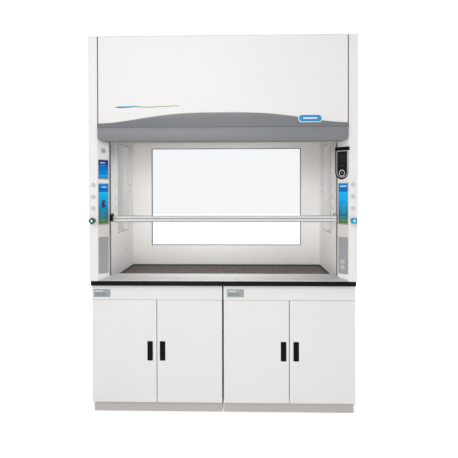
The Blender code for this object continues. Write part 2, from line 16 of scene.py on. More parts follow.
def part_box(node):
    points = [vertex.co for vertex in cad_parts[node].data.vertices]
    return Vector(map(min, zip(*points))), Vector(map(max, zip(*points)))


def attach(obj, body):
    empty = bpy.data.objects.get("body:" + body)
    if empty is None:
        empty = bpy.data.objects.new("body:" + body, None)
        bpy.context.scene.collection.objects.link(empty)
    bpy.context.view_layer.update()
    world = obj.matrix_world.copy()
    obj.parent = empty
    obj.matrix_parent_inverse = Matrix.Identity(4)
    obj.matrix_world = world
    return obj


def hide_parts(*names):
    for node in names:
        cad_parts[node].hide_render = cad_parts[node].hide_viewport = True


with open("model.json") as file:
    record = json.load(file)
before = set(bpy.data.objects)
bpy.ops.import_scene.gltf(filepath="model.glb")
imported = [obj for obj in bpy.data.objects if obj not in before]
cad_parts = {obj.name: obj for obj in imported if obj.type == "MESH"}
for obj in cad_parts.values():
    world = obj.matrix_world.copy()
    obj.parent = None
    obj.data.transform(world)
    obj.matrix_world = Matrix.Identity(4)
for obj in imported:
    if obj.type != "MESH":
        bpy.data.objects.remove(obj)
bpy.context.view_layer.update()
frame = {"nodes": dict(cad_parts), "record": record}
NODES = frame["nodes"]
RECORD = frame["record"]
BODY_OF = {node: body for body, nodes in RECORD["behaviour"]["bodies"].items() for node in nodes}
SLOT_OF = {part["node"]: part["material_slot"] for part in RECORD["subparts"]}
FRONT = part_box("top_cover")[0].y  # the hood's front plane
SIDES = {"left": -1, "right": 1}
BAYS = {"left": -520, "middle": 0, "right": 520}  # the middle x of each filter bay

# Faces that the fine pieces sit on
APRON = -40  # depth of the cabinets' front
DOOR_BACK = 60.1  # depth of the doors' inner face
LINING = 788  # x of the side linings
SKIN = 914.5  # x of the outer side panels
REAR_LINING, REAR_SKIN = 773, 802.7  # depth of the rear lining and of the rear panel
TOP = 2606
SIDE_WINDOW = (287, 591), (1241, 1905)  # depth and height of the opening in a side lining
REAR_WINDOW = (-630, 630), (1093, 1911)  # x and height of the opening in the rear lining


def P(x, depth, height):
    return Vector((x / 1000, FRONT + depth / 1000, height / 1000))


def mm(node):
    """A CAD node's lowest and highest x, depth and height, in millimetres."""
    low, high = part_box(node)
    return [
        (low.x * 1000, high.x * 1000),
        ((low.y - FRONT) * 1000, (high.y - FRONT) * 1000),
        (low.z * 1000, high.z * 1000),
    ]


# ---------------- materials


class Nodes:
    """A short way to write a material's node tree."""

    def __init__(self, name="finish"):
        self.material = bpy.data.materials.new(name)
        self.material.use_nodes = True
        self.tree = self.material.node_tree
        self.shader = self.tree.nodes["Principled BSDF"]
        self.place = self.add("TexCoord").outputs["Object"]

    def put(self, node, key, value):
        """Sets a node's socket, or joins another node's socket to it."""
        if isinstance(value, bpy.types.NodeSocket):
            self.tree.links.new(value, node.inputs[key])
        else:
            node.inputs[key].default_value = value

    def add(self, kind, values=None, **settings):
        node = self.tree.nodes.new("ShaderNode" + kind)
        for key, value in settings.items():
            setattr(node, key, value)
        for key, value in (values or {}).items():
            self.put(node, key, value)
        return node

    def set(self, **values):
        """Sets the shader's own sockets; an underscore in a key stands for a space."""
        for key, value in values.items():
            self.put(self.shader, key.replace("_", " "), value)

    def rough(self, source, low, high):
        self.set(Roughness=self.spread(source, low, high))

    def noise(self, scale, detail=3.0, rough=0.5, stretch=None):
        place = self.place
        if stretch:
            place = self.add("Mapping", {"Vector": place, "Scale": stretch}).outputs[0]
        values = {"Vector": place, "Scale": scale, "Detail": detail, "Roughness": rough}
        return self.add("TexNoise", values).outputs["Fac"]

    def ramp(self, source, stops):
        node = self.add("ValToRGB", {"Fac": source})
        points = node.color_ramp.elements
        points[0].position, points[0].color = stops[0][0], (*stops[0][1], 1)
        points[1].position, points[1].color = stops[-1][0], (*stops[-1][1], 1)
        for at, colour in stops[1:-1]:
            points.new(at).color = (*colour, 1)
        return node.outputs["Color"]

    def drift(self, source, colour, low, high, start=0.3, end=0.7):
        """A colour that goes from low to high times its own brightness."""
        return self.ramp(source, [(start, shade(colour, low)), (end, shade(colour, high))])

    def spread(self, source, low, high, start=0.3, end=0.7):
        values = {"Value": source, "From Min": start, "From Max": end, "To Min": low, "To Max": high}
        return self.add("MapRange", values).outputs["Result"]

    def along(self, axis, low, high, stops):
        """Colours that follow one axis, from low to high in millimetres."""
        split = self.add("SeparateXYZ", {"Vector": self.place})
        return self.ramp(self.spread(split.outputs[axis], 0.0, 1.0, low / 1000, high / 1000), stops)

    def mix(self, share, a, b, kind="MIX"):
        values = {"Factor": share, 6: a, 7: b}  # 6 and 7 are its two colours
        return self.add("Mix", values, data_type="RGBA", blend_type=kind).outputs[2]

    def bump(self, source, depth, strength=1.0):
        values = {"Strength": strength, "Distance": depth, "Height": source}
        before = self.shader.inputs["Normal"]
        if before.is_linked:
            values["Normal"] = before.links[0].from_socket
        self.set(Normal=self.add("Bump", values).outputs[0])


def shade(colour, by):
    return tuple(min(1.0, c * by) for c in colour)


def surface(
    colour, roughness, metallic=0.0, coat=0.0, specular=0.5, spread=0.06, tint=0.03, tint_scale=2.5,
    grain=0.00002, grain_scale=700.0, stretch=None,
):
    """A solid finish whose colour drifts a little, with a fine grain in its roughness and relief."""
    made = Nodes()
    made.set(Base_Color=made.drift(made.noise(tint_scale, 4, 0.55), colour, 1 - tint, 1 + tint))
    made.rough(made.noise(tint_scale * 9, 5, 0.6), roughness - spread, roughness + spread)
    made.set(Metallic=metallic, Specular_IOR_Level=specular)
    if coat:
        made.set(Coat_Weight=coat, Coat_Roughness=0.12)
    made.bump(made.noise(grain_scale, 2, 0.6, stretch), grain)
    return made.material


def powder_coat(colour, roughness=0.42):
    """Baked powder paint: a slight orange peel over a very faint drift of tone."""
    made = Nodes()
    made.set(Base_Color=made.drift(made.noise(1.7, 4, 0.5), colour, 0.985, 1.012))
    made.rough(made.noise(30, 4, 0.6), roughness - 0.04, roughness + 0.05)
    made.bump(made.noise(420, 2, 0.45), 0.00006, 0.55)
    made.bump(made.noise(1500, 1, 0.5), 0.00001, 0.5)
    return made.material


def lining(colour):
    """Fibre-reinforced lining board: warm white, a soft mottle and a faint lay of the fibres."""
    made = Nodes()
    mottle = made.drift(made.noise(5, 6, 0.6), colour, 0.965, 1.02)
    fleck = made.drift(made.noise(260, 3, 0.7), colour, 0.94, 1, 0.38, 0.52)
    made.set(Base_Color=made.mix(0.35, mottle, fleck))
    made.rough(made.noise(45, 5, 0.6), 0.42, 0.56)
    made.bump(made.noise(180, 4, 0.6, (1, 1, 0.25)), 0.00005, 0.5)
    return made.material


def resin(colour, speck, roughness, specular):
    """Cast epoxy resin: dark, finely speckled and slightly polished."""
    made = Nodes()
    specks = made.noise(620, 3, 0.7)
    base = made.ramp(specks, [(0.42, shade(colour, 0.8)), (0.6, colour), (0.72, speck)])
    made.set(
        Base_Color=made.mix(1.0, base, made.drift(made.noise(4, 5, 0.6), (1, 1, 1), 0.86, 1), "MULTIPLY")
    )
    made.rough(made.noise(26, 6, 0.65), roughness - 0.07, roughness + 0.1)
    made.set(Specular_IOR_Level=specular)
    made.bump(specks, 0.00003, 0.5)
    return made.material


def brushed(colour, roughness=0.3, along=(1, 1, 60)):
    """Drawn or brushed metal: fine lines along one direction."""
    made = Nodes()
    lines = made.noise(900, 3, 0.6, tuple(1 / a if a > 1 else 1 for a in along))
    made.set(Base_Color=made.drift(lines, colour, 0.9, 1.05))
    made.rough(lines, roughness - 0.08, roughness + 0.1)
    made.set(Metallic=1.0)
    made.bump(lines, 0.00002, 0.6)
    return made.material


def clear_pane(tint):
    """Glass that lets the light through: a clear sheet with a mirror film that grows at the edges."""
    made = Nodes()
    made.tree.nodes.remove(made.shader)
    haze = made.noise(5, 5, 0.6)
    clear = made.add("BsdfTransparent", {"Color": made.drift(haze, tint, 0.996, 1)})
    ripple = made.add("Bump", {"Distance": 0.00002, "Height": made.noise(9, 2, 0.4)})
    polish = {"Roughness": made.spread(haze, 0.02, 0.06), "Normal": ripple.outputs[0]}
    gloss = made.add("BsdfGlossy", polish)
    edge = made.add("Fresnel", {"IOR": 1.45})
    film = made.add("Math", {0: edge.outputs[0], 1: 0.6}, operation="MULTIPLY")
    sheet = made.add("MixShader", {"Fac": film.outputs[0], 1: clear.outputs[0], 2: gloss.outputs[0]})
    made.put(made.tree.nodes["Material Output"], "Surface", sheet.outputs[0])
    return made.material


M = {
    "white_powder_coat": powder_coat((0.80, 0.795, 0.785)),
    "chamber_lining": lining((0.85, 0.835, 0.815)),
    "moulded_grey": surface(
        (0.195, 0.203, 0.218), 0.4, tint=0.02, grain=0.00006, grain_scale=520, spread=0.04
    ),
    "black_resin": resin((0.006, 0.0055, 0.0055), (0.016, 0.015, 0.014), 0.4, 0.15),
    # dish_painted_reflection: a browner tint on the dish that paints the reflection seen in it
    "dish_painted_reflection": resin((0.06, 0.036, 0.031), (0.066, 0.046, 0.04), 0.34, 0.16),
    "clear_glass": clear_pane((0.975, 0.983, 0.99)),
    "sash_pane": clear_pane((0.998, 0.999, 0.999)),
    "white_aluminium": surface((0.68, 0.675, 0.67), 0.38, grain_scale=900, grain=0.00001, tint=0.012),
    "aluminium": brushed((0.68, 0.69, 0.7), 0.32, (60, 1, 1)),
    "black_plastic": surface(
        (0.005, 0.005, 0.0055), 0.45, specular=0.12, grain=0.00005, grain_scale=600, tint=0.1
    ),
    "button_plastic": surface((0.42, 0.42, 0.43), 0.38, grain_scale=800),
    "bright_steel": brushed((0.56, 0.56, 0.57), 0.34, (1, 1, 40)),
    "cast_weight": surface(
        (0.05, 0.052, 0.056), 0.55, metallic=0.3, grain=0.0003, grain_scale=260, tint=0.2, spread=0.12
    ),
    "filter_media": surface(
        (0.62, 0.61, 0.56), 0.85, grain=0.0006, grain_scale=180, tint=0.08, spread=0.05, stretch=(1, 0.2, 1)
    ),
    "fan_plastic": surface((0.03, 0.031, 0.033), 0.45, grain=0.00005, tint=0.1),
    "lamp_diffuser": surface((0.88, 0.88, 0.86), 0.35, grain=0.0001, grain_scale=350, tint=0.01),
    "outlet_plate": surface((0.335, 0.335, 0.365), 0.45, grain=0.00005, grain_scale=600),
    "green_knob": surface((0.004, 0.115, 0.055), 0.35, specular=0.3, tint=0.06),
    "blue_knob": surface((0.008, 0.31, 0.66), 0.35, specular=0.3, tint=0.06),
    "plug": surface((0.60, 0.575, 0.56), 0.5, grain_scale=800),
    "silver": surface((0.62, 0.63, 0.65), 0.25, metallic=1.0, grain=0.00001),
    "gloss_black": surface(
        (0.006, 0.006, 0.0065), 0.22, specular=0.22, grain=0.000002, tint=0.1, spread=0.03
    ),
    "gasket": surface((0.20, 0.20, 0.20), 0.6, grain=0.00008, grain_scale=500, tint=0.08),
    # seam_grey: the dark grey of strips that paint shade lines on the sash grip and round the rear pane
    "seam_grey": surface((0.14, 0.14, 0.14), 0.6, grain=0.00004, tint=0.08),
    "dark_gap": surface((0.03, 0.029, 0.028), 0.7, grain=0.00005, tint=0.1),
    "label_grey": surface((0.36, 0.39, 0.42), 0.35, metallic=0.3, grain_scale=900),
    "label_band": surface((0.16, 0.18, 0.21), 0.35, tint=0.05),
    "white_plastic": surface((0.80, 0.80, 0.79), 0.32, coat=0.2, grain_scale=900, tint=0.01),
    "badge_blue": surface((0.02, 0.27, 0.62), 0.25, coat=0.4, tint=0.05),
    "moulded_grey_light": surface((0.36, 0.36, 0.37), 0.35, tint=0.02),
    "holder": surface((0.52, 0.52, 0.53), 0.35, metallic=0.4, grain_scale=900),
    "blank_plate": surface((0.66, 0.64, 0.63), 0.45, grain_scale=800, tint=0.02),
    "receptacle": surface((0.60, 0.60, 0.61), 0.35, grain_scale=900, tint=0.02),
    "switch_rim": surface((0.50, 0.49, 0.49), 0.4, grain_scale=800, tint=0.02),
    "push_grey": surface((0.05, 0.055, 0.06), 0.3, grain_scale=900, tint=0.08),
    "display": surface((0.008, 0.009, 0.011), 0.12, specular=0.3, grain=0.000001, tint=0.1, spread=0.02),
    "label_pale": surface((0.62, 0.65, 0.68), 0.4, grain_scale=900),
    "track": surface((0.2, 0.19, 0.182), 0.5, specular=0.3, grain_scale=600, tint=0.06),
    "trim": surface((0.86, 0.86, 0.88), 0.3, metallic=0.1, grain_scale=900, tint=0.02),
    # toe_grey: a darker warm grey that paints the shade under the cabinets onto the toe kick
    "toe_grey": surface((0.535, 0.51, 0.495), 0.55, grain_scale=500, tint=0.02),
}
PRINTS = {  # a colour and how far it drifts
    "pale": ((0.62, 0.74, 0.86), 0.03),
    "sky": ((0.03, 0.42, 0.82), 0.06),
    "mist": ((0.10, 0.36, 0.50), 0.1),
    "navy": ((0.012, 0.03, 0.14), 0.1),
    "yellow": ((0.62, 0.48, 0.06), 0.1),
}
for ink, (colour, tint) in PRINTS.items():
    M[f"print_{ink}"] = surface(colour, 0.3, grain_scale=900, tint=tint)
for key, material in M.items():
    material.name = key.replace("_", " ")


def banded(name, low, high, stops):
    """A printed strip whose colour follows its height, from the low to the high end."""
    made = Nodes(name)
    print_colour = made.along("Z", low, high, stops)
    worn = made.drift(made.noise(40, 3, 0.5), (1, 1, 1), 0.9, 1, 0.35, 0.65)
    made.set(Base_Color=made.mix(1.0, print_colour, worn, "MULTIPLY"))
    made.rough(made.noise(60, 3, 0.5), 0.3, 0.42)
    made.set(Specular_IOR_Level=0.2)
    made.bump(made.noise(900, 2, 0.5), 0.00001)
    return made.material


# ---------------- shapes

RUBBER = {"look": "gasket", "slot": "black_plastic"}
SLANT_OUT, SLANT_IN, SLANT_DEPTH = 856, 793, 62  # the slanted face of a post, in plan


def slant(side):
    """On a post's slanted face: along it towards the chamber, up, and out from it."""
    run = Vector((SLANT_IN - SLANT_OUT, SLANT_DEPTH)).normalized()
    off = Vector((-run.y, run.x))
    middle = Vector(((SLANT_OUT + SLANT_IN) / 2, SLANT_DEPTH / 2))

    def to(a, b, c):
        spot = middle + run * a + off * c
        return P(side * spot.x, spot.y, b)

    return to


def wall(side, at, way=-1):
    """On a side wall at one x: depth, up, and out from it, into the chamber or (way 1) away from it."""
    return lambda a, b, c: P(side * (at + way * c), a, b)


def facing(at, way=-1, side=1):
    """On an upright face at one depth: across, up, and out from it, to the front or (way 1) the back."""
    return lambda a, b, c: P(side * a, at + way * c, b)


def lid(at):
    """On a level face at one height: across, depth, and up from it."""
    return lambda a, b, c: P(a, b, at + c)


forward = facing(0)  # the hood's front plane


def arc(centre, radius, start, end, steps):
    turns = [radians(start + (end - start) * i / steps) for i in range(steps + 1)]
    return [(centre[0] + radius * cos(t), centre[1] + radius * sin(t)) for t in turns]


def rounded(a, b, radius, steps=5):
    """A rectangle with round corners, as points going round."""
    corners = ((1, 1, 0), (0, 1, 90), (0, 0, 180), (1, 0, 270))
    points = []
    for i, j, start in corners:
        centre = (a[i] + (radius if i == 0 else -radius), b[j] + (radius if j == 0 else -radius))
        points += arc(centre, radius, start, start + 90, steps)
    return points


def inset_box(a, b, radius, steps, inset, ease=1.0, least=0.0):
    """A round-cornered rectangle drawn in by an inset, its corners tightening by ease times as much."""
    tight = max(least, radius - inset * ease)
    return rounded((a[0] + inset, a[1] - inset), (b[0] + inset, b[1] - inset), tight, steps)


def pillow(to, a, b, radius, steps, levels, **more):
    """Rings of a round-cornered rectangle, one for each (inset, out) level."""
    return [
        [to(x, y, out) for x, y in inset_box(a, b, radius, steps, inset, **more)] for inset, out in levels
    ]


def piece(name, work, look, body="frame", slot=None, sharp=35, bevel=0.0, segments=2):
    """Turns a bmesh into a named piece that rides on a body."""
    bmesh.ops.remove_doubles(work, verts=work.verts, dist=1e-7)
    bmesh.ops.recalc_face_normals(work, faces=work.faces)
    mesh = bpy.data.meshes.new(name)
    work.to_mesh(mesh)
    work.free()
    made = bpy.data.objects.new(name, mesh)
    bpy.context.scene.collection.objects.link(made)
    mesh.shade_smooth()
    mesh.set_sharp_from_angle(angle=radians(sharp))
    mesh.materials.append(M[look] if isinstance(look, str) else look)
    if bevel:
        edge = made.modifiers.new("rounded edges", "BEVEL")
        edge.width = bevel / 1000
        edge.segments = segments
        edge.limit_method = "ANGLE"
        edge.angle_limit = radians(40)
        edge.harden_normals = True
    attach(made, body)
    if slot or (isinstance(look, str) and look in SLOT_OF.values()):
        slot or look
    return made


def add_loft(work, rings, closed=True, caps=(True, True)):
    """Faces between rings of points; each ring closes on itself if closed."""
    made = [[work.verts.new(p) for p in ring] for ring in rings]
    n = len(made[0])
    for low, high in zip(made, made[1:]):
        for i in range(n if closed else n - 1):
            work.faces.new((low[i], low[(i + 1) % n], high[(i + 1) % n], high[i]))
    if caps[0]:
        work.faces.new(made[0])
    if caps[1]:
        work.faces.new(made[-1])
    return work


def solid(name, rings, look, body="frame", caps=(True, True), **more):
    """A piece made of faces between rings of points."""
    return piece(name, add_loft(bmesh.new(), rings, caps=caps), look, body, **more)


def plate(name, outline, low, high, to, look, body="frame", **more):
    """A flat outline given a thickness."""
    return solid(name, [[to(a, b, c) for a, b in outline] for c in (low, high)], look, body, **more)


def circle(to, radius, out, sides, centre=(0, 0)):
    return [to(centre[0] + radius * cos(t), centre[1] + radius * sin(t), out) for t in turns(sides)]


def add_lathe(work, centre, profile, to, sides=32):
    """A profile of (radius, out) points turned about a centre."""
    return add_loft(work, [circle(to, r, c, sides, centre) for r, c in profile])


def turns(sides):
    return [2 * pi * i / sides for i in range(sides)]


def lathe(name, centre, profile, to, look, body="frame", sides=32, **more):
    return piece(name, add_lathe(bmesh.new(), centre, profile, to, sides), look, body, **more)


def add_screw(work, centre, to, radius=3.6, base=0.0):
    """A button-head screw with a hexagonal socket."""
    rings = []
    for r, c in ((1, 0), (1, 0.12), (0.93, 0.32), (0.75, 0.5), (0.52, 0.56)):
        rings.append(circle(to, radius * r, base + radius * c, 18, centre))
    for c in (0.56, 0.16):
        ring = []
        for t in turns(18):
            r = radius * (0.42 * cos(pi / 6) / cos((t % (pi / 3)) - pi / 6))
            ring.append(to(centre[0] + r * cos(t), centre[1] + r * sin(t), base + radius * c))
        rings.append(ring)
    add_loft(work, rings)


def grid(across, up):
    return [(a, b) for a in across for b in up]


def screws(name, spots, to, body="frame", look="bright_steel", radius=3.6, base=0.0):
    work = bmesh.new()
    for spot in spots:
        add_screw(work, spot, to, radius, base)
    return piece(name, work, look, body)


def frame_strip(name, outer, inner, low, high, to, look, body="frame", **more):
    """A flat ring between two outlines of the same number of points."""
    work = bmesh.new()
    loops = [
        [to(a, b, c) for a, b in o] for o, c in ((outer, low), (outer, high), (inner, high), (inner, low))
    ]
    made = [[work.verts.new(p) for p in loop] for loop in loops]
    n = len(outer)
    for k in range(4):
        first, second = made[k], made[(k + 1) % 4]
        for i in range(n):
            work.faces.new((first[i], first[(i + 1) % n], second[(i + 1) % n], second[i]))
    return piece(name, work, look, body, **more)


def holed_plate(name, outline, hole, low, high, to, look, body="frame", **more):
    """A flat plate with one hole through it."""
    work = bmesh.new()
    loops = [
        [[work.verts.new(to(a, b, c)) for a, b in line] for line in (outline, hole)] for c in (low, high)
    ]
    for pair in loops:
        edges = [work.edges.new((line[i - 1], line[i])) for line in pair for i in range(len(line))]
        bmesh.ops.triangle_fill(work, use_beauty=True, edges=edges)
    for near, far in zip(*loops):
        for i in range(len(near)):
            work.faces.new((near[i - 1], near[i], far[i], far[i - 1]))
    return piece(name, work, look, body, **more)


def swap(made, *nodes):
    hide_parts(*nodes)
    return made


# ---------------- camera, light and stage


def camera():
    """One view from the front, a little right of the middle, at eye height."""
    data = bpy.data.cameras.new("camera")
    data.sensor_width, data.lens, data.shift_y = 36, 37.38, -0.0709
    made = bpy.data.objects.new("camera", data)
    made.location = P(127.65, -3232, 1540.6)
    made.rotation_mode = "XYZ"
    down, turn, roll = 0.009, 0.0255, -0.0019  # radians
    aim = Euler((pi / 2 - down, 0, turn)).to_matrix() @ Matrix.Rotation(roll, 3, "Z")
    made.rotation_euler = aim.to_euler()
    bpy.context.scene.collection.objects.link(made)
    bpy.context.scene.camera = made


def area_light(name, spot, target, size, power, mirrored=True):
    data = bpy.data.lights.new(name, "AREA")
    data.shape = "RECTANGLE"
    data.size, data.size_y = size
    data.energy = power
    made = bpy.data.objects.new(name, data)
    made.location = spot
    made.rotation_euler = (Vector(target) - Vector(spot)).to_track_quat("-Z", "Y").to_euler()
    made.visible_camera = False
    made.visible_glossy = mirrored
    bpy.context.scene.collection.objects.link(made)


def stage():
    work = bmesh.new()
    bmesh.ops.create_grid(work, x_segments=1, y_segments=1, size=30)
    mesh = bpy.data.meshes.new("floor")
    work.to_mesh(mesh)
    work.free()
    floor = bpy.data.objects.new("floor", mesh)
    bpy.context.scene.collection.objects.link(floor)
    look = Nodes("pale floor")
    look.set(Base_Color=(0.8, 0.79, 0.78, 1), Roughness=0.9, Emission_Color=(1, 1, 1, 1))
    # the camera sees the floor glow, more so away from the hood; the hood itself isn't lit by it
    seen = look.add("LightPath").outputs["Is Camera Ray"]
    reach = look.add("VectorMath", {0: look.place}, operation="LENGTH").outputs["Value"]
    glow = look.add("Math", {0: look.spread(reach, 0.53, 1.0, 0.8, 2.2), 1: seen}, operation="MULTIPLY")
    look.set(Emission_Strength=glow.outputs[0])
    mesh.materials.append(look.material)

    world = bpy.data.worlds.new("studio")
    world.use_nodes = True
    tree = world.node_tree
    sky = tree.nodes["Background"]
    sky.inputs["Color"].default_value = (1, 0.995, 0.985, 1)
    sky.inputs["Strength"].default_value = 0.5
    backdrop = tree.nodes.new("ShaderNodeBackground")
    backdrop.inputs["Color"].default_value = (1, 1, 1, 1)
    backdrop.inputs["Strength"].default_value = 1.02
    seen = tree.nodes.new("ShaderNodeLightPath").outputs["Is Camera Ray"]
    mixer = tree.nodes.new("ShaderNodeMixShader")
    tree.links.new(seen, mixer.inputs["Fac"])
    tree.links.new(sky.outputs["Background"], mixer.inputs[1])
    tree.links.new(backdrop.outputs["Background"], mixer.inputs[2])
    tree.links.new(mixer.outputs["Shader"], tree.nodes["World Output"].inputs["Surface"])
    bpy.context.scene.world = world
    bpy.context.scene.view_settings.view_transform = "Standard"
    area_light("key", (-1.0, -6.0, 3.8), (0, 0, 1.1), (3.2, 2.2), 122)
    area_light("fill", (0, -5.0, 0.8), (0, 0.2, 0.9), (2.6, 1.2), 55, mirrored=False)
    area_light("window glow", (0, 2.0, 1.2), (0, 0, 1.1), (1.6, 0.9), 8, mirrored=False)
    area_light("chamber light", (-0.08, -0.12, 1.86), (-0.08, 0.06, 0.9), (0.8, 0.3), 6.2, mirrored=False)


camera()
stage()


# ---------------- CAD pieces that keep their shape

LOOK_OF = {"sash_glass": "sash_pane", "sash_track_left": "track", "sash_track_right": "track"}
for node, thing in NODES.items():
    thing.data.materials.clear()
    thing.data.materials.append(M[LOOK_OF.get(node, SLOT_OF[node])])


# ---------------- header


def header_top(x):
    """Height of the header's arched upper edge."""
    low, rise = 2013, 71
    return low + rise * (1 + cos(pi * min(1, abs(x) / 846) ** 1.5)) / 2


def header():
    """The moulded brow: an upright band under a shadow line, and a sloping band up to the arch."""
    bottom, fold, face = 1887, 1982, -25
    half_low, half_high = 845, 850
    run, rise = 40, 25
    stations = list(np.linspace(-(half_low - run), half_low - run, 49))
    ends = [half_low - run + run * sin(radians(90 * i / 10)) for i in range(1, 11)]
    stations = [-x for x in ends[::-1]] + stations + ends

    def low_edge(x):
        past = max(0.0, abs(x) - (half_low - run)) / run
        return bottom + rise * (1 - (1 - min(1, past) ** 2) ** 0.5)

    rings = []
    for x in stations:
        low, top = low_edge(x), header_top(x)
        slope = (SLANT_OUT - abs(x)) * SLANT_DEPTH / (SLANT_OUT - SLANT_IN)
        back = min(55, slope - 0.8)
        wide = x * half_high / half_low
        lower = [(x, back, low)]
        lower += [(x, d, z) for d, z in arc((face + 5, low + 5), 5, 270, 180, 5)]
        lower += [(x, face, fold - 4.5), (x, face + 0.8, fold - 2.6), (x, face + 4.5, fold - 2)]
        rise_d, rise_z = 2.4 - (face + 1), top - fold
        upper = [(wide, face + 4.5, fold - 0.2), (wide, face + 0.9, fold + 0.6)]
        upper += [
            (wide, face + 1 + rise_d * s + 2.0 * sin(pi * s), fold + 1 + (rise_z - 3) * s)
            for s in (0.03, 0.25, 0.5, 0.75, 0.95)
        ]
        upper += [(wide, 1.2, top - 1.2), (wide, 2.2, top - 0.2)]
        rings.append([P(*p) for p in lower + upper])
    work = add_loft(bmesh.new(), rings, closed=False, caps=(False, False))
    made = piece("header_brow", work, "moulded_grey")
    wall_thick = made.modifiers.new("wall", "SOLIDIFY")
    wall_thick.thickness, wall_thick.offset = 0.0028, -1
    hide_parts("header_fascia")


def brow_trims():
    """A dark rubber-look strip under the brow's front edge that paints the shadow there, and the pale lip
    behind it.
    """
    # painted shadow: a dark strip where the underside of the brow falls in shade
    seal = ((-22, 1888), (-22, 1883.6), (-12, 1883.6), (-12, 1888))
    rings = [[P(x, d, z) for d, z in seal] for x in (-804, 804)]
    solid("brow_shadow_strip", rings, **RUBBER, bevel=0.8)
    plate(
        "ceiling_lip", rounded((-780, 780), (1884.4, 1899), 1, 2), -96.8, -95.4, forward, "white_plastic",
        slot="chamber_lining", bevel=0.4,
    )


# ---------------- worktop and sill


def worktop():
    """A resin slab with eased edges and a shallow dish inside the chamber."""
    half, near, far = 765, 118, 748
    rim = ((1.4, 901), (0, 902.4), (0, 930.2), (0.8, 932.2), (2.6, 933))
    dish = ((-3.5, 933), (-1.2, 932.7), (0.3, 931.2), (1.6, 928.6), (3, 927.4), (6, 927))
    rings = pillow(P, (-908, 908), (2, 803), 10, 6, rim) + pillow(P, (-half, half), (near, far), 14, 6, dish)
    made = solid("resin_worktop", rings, "black_resin")
    # the dish faces get the browner tint that paints the reflection in the dish
    made.data.materials.append(M["dish_painted_reflection"])
    for face in made.data.polygons:
        spot = face.center
        if abs(spot.x) < half / 1000 and P(0, near, 0).y < spot.y < P(0, far, 0).y:
            face.material_index = 1
    swap(made, "worktop")


def sill():
    """The rolled airfoil along the front edge, its ends cut to the posts' slant."""
    path = arc((1.2, 937.4), 3.4, 250, 112, 6) + arc((93.5, 963), 7, 109, 0, 8) + [(100.5, 957.5)]
    rings = []
    for side in (-1, 1):
        ring = []
        for d, z in path:
            edge = SLANT_OUT - max(0, d) * (SLANT_OUT - SLANT_IN) / SLANT_DEPTH
            ring.append(P(side * (min(SLANT_OUT, edge) - 1.5), d, z))
        rings.append(ring)
    work = add_loft(bmesh.new(), rings, closed=False, caps=(False, False))
    made = piece("airfoil", work, "white_powder_coat", sharp=40)
    fold = made.modifiers.new("sheet", "SOLIDIFY")
    fold.thickness, fold.offset = 0.002, -1
    swap(made, "airfoil_sill")


# ---------------- doors


def door_pull(node):
    """A flush pull: a rounded rim round a sloping finger pocket with a lip down one side."""
    (x0, x1), (front_d, back), (z0, z1) = mm(node)
    x0, x1 = x0 - 1.2, x1 + 1.2
    to = lambda a, b, depth: P(a, depth, b)
    body, name = BODY_OF[node], node.replace("door_handle", "door_pull")
    rim = (
        (0.2, front_d + 2.2), (0, front_d + 1.5), (0.4, front_d + 0.5), (1.4, front_d), (3.6, front_d),
        (4.6, front_d + 0.6), (5.2, front_d + 2), (6, back - 5), (7.5, back - 3), (10, back - 2.2),
    )
    pocket = pillow(to, (x0, x1), (z0, z1), 6, 5, rim, ease=0.6, least=1.5)
    swap(solid(name, pocket, "black_plastic", body), node)
    walls = ((2.4, front_d + 1.6), (2.4, back - 0.4), (4.4, back))
    box = pillow(to, (x0, x1), (z0, z1), 4, 5, walls, ease=0)
    solid(name.replace("pull", "pull_box"), box, "black_plastic", body)
    side = 1 if "left" in node else -1
    inner = x1 - 5.4 if (side > 0) == ("outer" in node) else x0 + 5.4
    toward = -1 if inner > (x0 + x1) / 2 else 1
    lip = [
        (inner, front_d + 0.5), (inner + toward * 7.5, front_d + 1.2), (inner + toward * 7.5, front_d + 3),
        (inner, front_d + 4.6),
    ]
    rings = [[P(a, b, z) for a, b in lip] for z in (z0 + 6, z1 - 6)]
    solid(name.replace("pull", "pull_lip"), rings, "black_plastic", body, bevel=0.7)


# ---------------- sash


